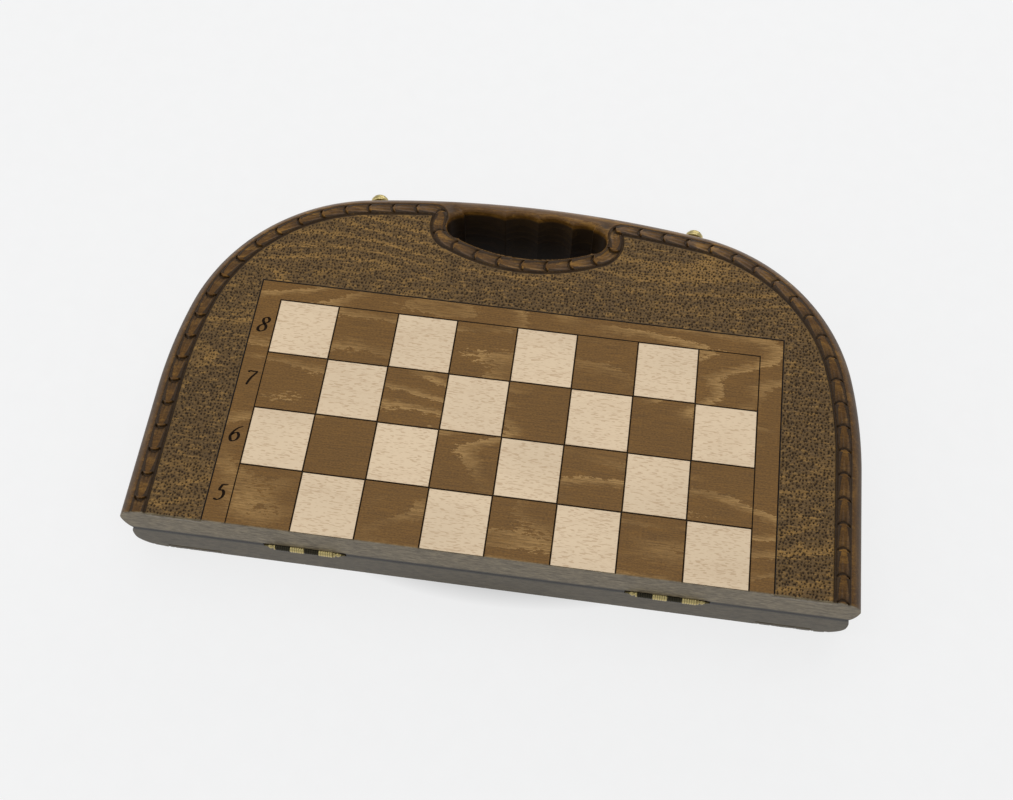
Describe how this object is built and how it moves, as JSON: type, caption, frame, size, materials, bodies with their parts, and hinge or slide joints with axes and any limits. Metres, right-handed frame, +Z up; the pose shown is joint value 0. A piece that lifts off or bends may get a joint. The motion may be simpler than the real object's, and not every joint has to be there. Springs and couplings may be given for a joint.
{
  "type": "chess set with board",
  "caption": "Folding arched chess case with a carved border, board on its outer faces, cut-through carry handle, hinges, latches and chessmen in a lined tray.",
  "frame": {"origin": "centre of the bottom face that the closed case lies on, midway between its hinged edge and the crown of its arch", "axes": "+X along the hinges, to the right seen from the hinged edge; +Y from the hinges to the handle; +Z up"},
  "size_m": [0.5, 0.2913, 0.07],
  "materials": {
    "stained_beech": "walnut-brown stain, satin lacquer, carved and punched",
    "natural_beech": "natural, satin lacquer",
    "green_felt": "napped felt",
    "light_men": "clear satin lacquer",
    "dark_men": "dark stain, satin lacquer",
    "aged_brass": "antiqued, dark in the recesses"
  },
  "bodies": {
    "lower_half": {"lower_frame": "stained_beech", "lower_board": "stained_beech", "lower_light_squares": "natural_beech", "lower_tray": "green_felt", "left_lower_leaf": "aged_brass", "right_lower_leaf": "aged_brass", "left_hinge_pin": "aged_brass", "right_hinge_pin": "aged_brass", "lower_hinge_screws": "aged_brass", "left_keeper": "aged_brass", "right_keeper": "aged_brass", "light_pawn_1": "light_men", "light_pawn_2": "light_men", "light_pawn_3": "light_men", "light_pawn_4": "light_men", "light_pawn_5": "light_men", "light_pawn_6": "light_men", "light_pawn_7": "light_men", "light_pawn_8": "light_men", "light_rook_1": "light_men", "light_rook_2": "light_men", "light_knight_1": "light_men", "light_knight_2": "light_men", "light_bishop_1": "light_men", "light_bishop_2": "light_men", "light_king": "light_men", "light_queen": "light_men", "dark_pawn_1": "dark_men", "dark_pawn_2": "dark_men", "dark_pawn_3": "dark_men", "dark_pawn_4": "dark_men", "dark_pawn_5": "dark_men", "dark_pawn_6": "dark_men", "dark_pawn_7": "dark_men", "dark_pawn_8": "dark_men", "dark_rook_1": "dark_men", "dark_rook_2": "dark_men", "dark_knight_1": "dark_men", "dark_knight_2": "dark_men", "dark_bishop_1": "dark_men", "dark_bishop_2": "dark_men", "dark_king": "dark_men", "dark_queen": "dark_men"},
    "upper_half": {"upper_frame": "stained_beech", "upper_board": "stained_beech", "upper_light_squares": "natural_beech", "upper_lining": "green_felt", "left_upper_leaf": "aged_brass", "right_upper_leaf": "aged_brass", "upper_hinge_screws": "aged_brass", "left_latch_post": "aged_brass", "right_latch_post": "aged_brass"},
    "left_latch": {"left_hook": "aged_brass", "left_knob": "aged_brass"},
    "right_latch": {"right_hook": "aged_brass", "right_knob": "aged_brass"}
  },
  "joints": [
    {"name": "lid", "type": "hinge", "parent": "lower_half", "child": "upper_half", "pos_m": [0, -0.1437, 0.035], "axis": [1, 0, 0], "range_deg": [0, 180]},
    {"name": "left_latch_swing", "type": "hinge", "parent": "upper_half", "child": "left_latch", "pos_m": [-0.122, 0.13459, 0.048], "axis": [-0.1452, 0.9894, 0], "range_deg": [0, 90]},
    {"name": "right_latch_swing", "type": "hinge", "parent": "upper_half", "child": "right_latch", "pos_m": [0.122, 0.13459, 0.048], "axis": [-0.1452, -0.9894, 0], "range_deg": [0, 90]}
  ]
}
